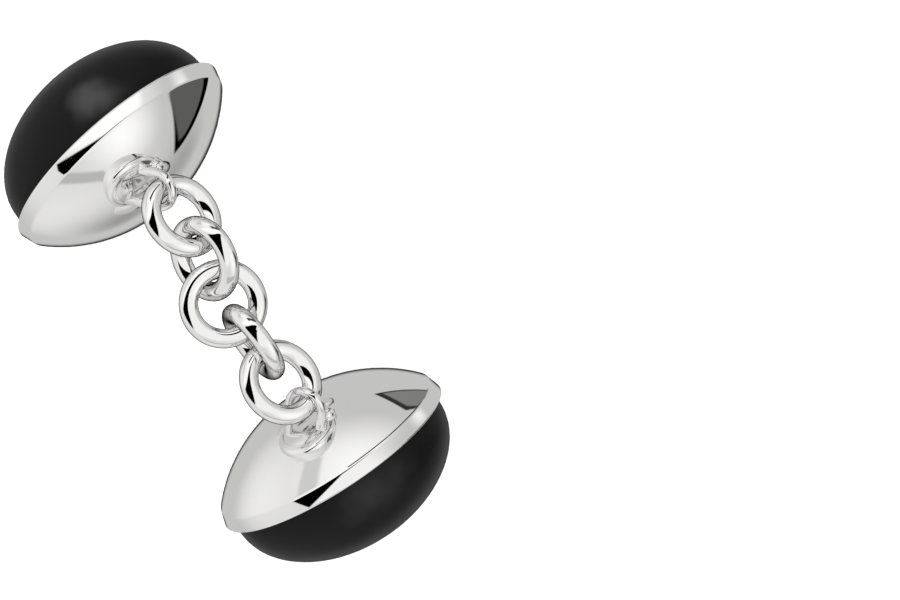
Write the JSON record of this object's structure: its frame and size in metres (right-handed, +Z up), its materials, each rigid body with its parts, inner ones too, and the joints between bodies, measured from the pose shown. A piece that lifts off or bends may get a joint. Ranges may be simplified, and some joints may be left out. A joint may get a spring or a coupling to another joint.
{
  "type": "chain link cufflink",
  "caption": "Chain link cufflink lying as put down: oval silver cups with black cabochons, each on its long side, joined by a chain of round rings.",
  "frame": {"origin": "on the surface it lies on, under the middle of its box", "axes": "+X along the chain from setting_a to setting_b, +Y along the cups' long axes, +Z up"},
  "size_m": [0.038, 0.018, 0.0145],
  "materials": {
    "silver": "mirror-polished silver",
    "black_stone": "polished black onyx, soft gloss"
  },
  "bodies": {
    "root": {"setting_a": "silver", "stone_a": "black_stone", "link_1": "silver", "link_2": "silver", "link_3": "silver", "link_4": "silver", "link_5": "silver", "setting_b": "silver", "stone_b": "black_stone"}
  },
  "joints": []
}
